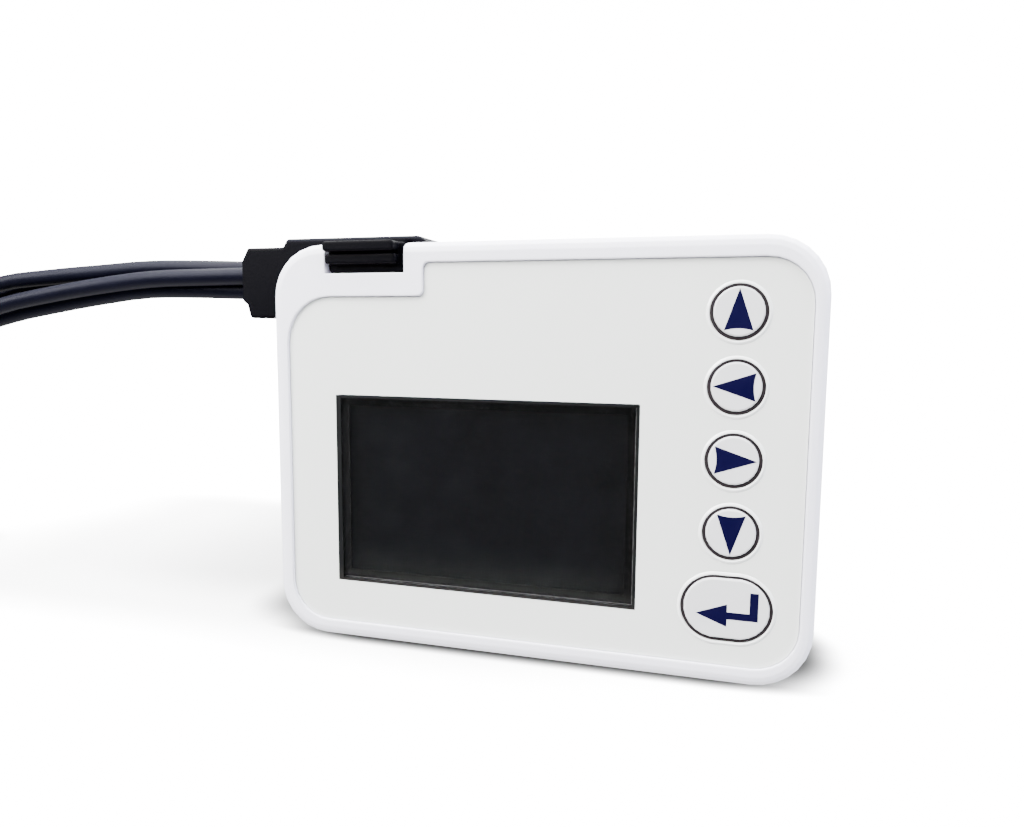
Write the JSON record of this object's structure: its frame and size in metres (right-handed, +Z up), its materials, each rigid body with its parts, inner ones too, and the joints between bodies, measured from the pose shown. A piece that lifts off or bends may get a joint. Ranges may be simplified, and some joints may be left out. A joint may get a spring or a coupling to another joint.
{
  "type": "holter monitor",
  "caption": "Pocket ECG recorder with a display, round arrow keys, a corner lead plug with a ribbed thumb pad and thin black electrode leads tied in a hank.",
  "frame": {"origin": "under the middle of the case, on the surface that it stands on", "axes": "+X to the right along the case as seen from the front, +Y away from the viewer through its thickness, +Z up"},
  "size_m": [0.2154, 0.0281, 0.0548],
  "materials": {
    "shell_white": "satin moulded",
    "overlay_grey": "fine matt film",
    "key_grey": "satin",
    "window_clear": "clear, polished",
    "lcd_dark": "dark polarised glass",
    "light_guide": "frosted",
    "holder_black": "moulded",
    "flex_amber": "film",
    "board_green": "solder mask",
    "chip_black": "moulded",
    "bright_metal": "plain",
    "gold_metal": "gold plated",
    "cell_can": "printed foil label",
    "plug_black": "matt moulded",
    "lead_black": "smooth sheath",
    "tie_grey": "woven hook and loop"
  },
  "bodies": {
    "recorder": {"front_shell": "shell_white", "rear_shell": "shell_white", "keypad_overlay": "overlay_grey", "display_window": "window_clear", "lcd_glass": "lcd_dark", "lcd_backlight": "light_guide", "lcd_holder": "holder_black", "lcd_flex": "flex_amber", "main_board": "board_green", "processor_chip": "chip_black", "ecg_amplifier_chip": "chip_black", "memory_chip": "chip_black", "buzzer": "chip_black", "socket_insulator": "chip_black", "clock_crystal": "bright_metal", "clock_cell": "bright_metal", "switch_up": "bright_metal", "switch_left": "bright_metal", "switch_right": "bright_metal", "switch_down": "bright_metal", "switch_enter": "bright_metal", "socket_shell": "bright_metal", "battery_contact_positive": "bright_metal", "battery_contact_negative": "bright_metal", "battery_spring": "bright_metal", "case_screw_1": "bright_metal", "case_screw_2": "bright_metal", "case_screw_3": "bright_metal", "case_screw_4": "bright_metal", "socket_pins": "gold_metal", "battery": "cell_can"},
    "key_up": {"button_up": "key_grey"},
    "key_left": {"button_left": "key_grey"},
    "key_right": {"button_right": "key_grey"},
    "key_down": {"button_down": "key_grey"},
    "key_enter": {"button_enter": "key_grey"},
    "door": {"battery_door": "shell_white"},
    "patient_cable": {"plug_housing": "plug_black", "plug_tongue": "chip_black", "plug_contacts": "gold_metal", "lead_1": "lead_black", "lead_2": "lead_black", "lead_3": "lead_black", "lead_4": "lead_black", "lead_5": "lead_black", "lead_hank": "lead_black", "hank_tie": "tie_grey", "electrode_snap_1": "lead_black", "electrode_snap_2": "lead_black", "electrode_snap_3": "lead_black", "electrode_snap_4": "lead_black", "electrode_snap_5": "lead_black"}
  },
  "joints": [
    {"name": "key_up_press", "type": "slide", "parent": "recorder", "child": "key_up", "axis": [0, 1, 0], "range_m": [0, 0.0004], "stiffness_N_per_m": 600},
    {"name": "key_left_press", "type": "slide", "parent": "recorder", "child": "key_left", "axis": [0, 1, 0], "range_m": [0, 0.0004], "stiffness_N_per_m": 600},
    {"name": "key_right_press", "type": "slide", "parent": "recorder", "child": "key_right", "axis": [0, 1, 0], "range_m": [0, 0.0004], "stiffness_N_per_m": 600},
    {"name": "key_down_press", "type": "slide", "parent": "recorder", "child": "key_down", "axis": [0, 1, 0], "range_m": [0, 0.0004], "stiffness_N_per_m": 600},
    {"name": "key_enter_press", "type": "slide", "parent": "recorder", "child": "key_enter", "axis": [0, 1, 0], "range_m": [0, 0.0004], "stiffness_N_per_m": 600},
    {"name": "door_slide", "type": "slide", "parent": "recorder", "child": "door", "axis": [1, 0, 0], "range_m": [0, 0.054]},
    {"name": "plug_pull", "type": "slide", "parent": "recorder", "child": "patient_cable", "axis": [0, 0, 1], "range_m": [0, 0.012]}
  ]
}
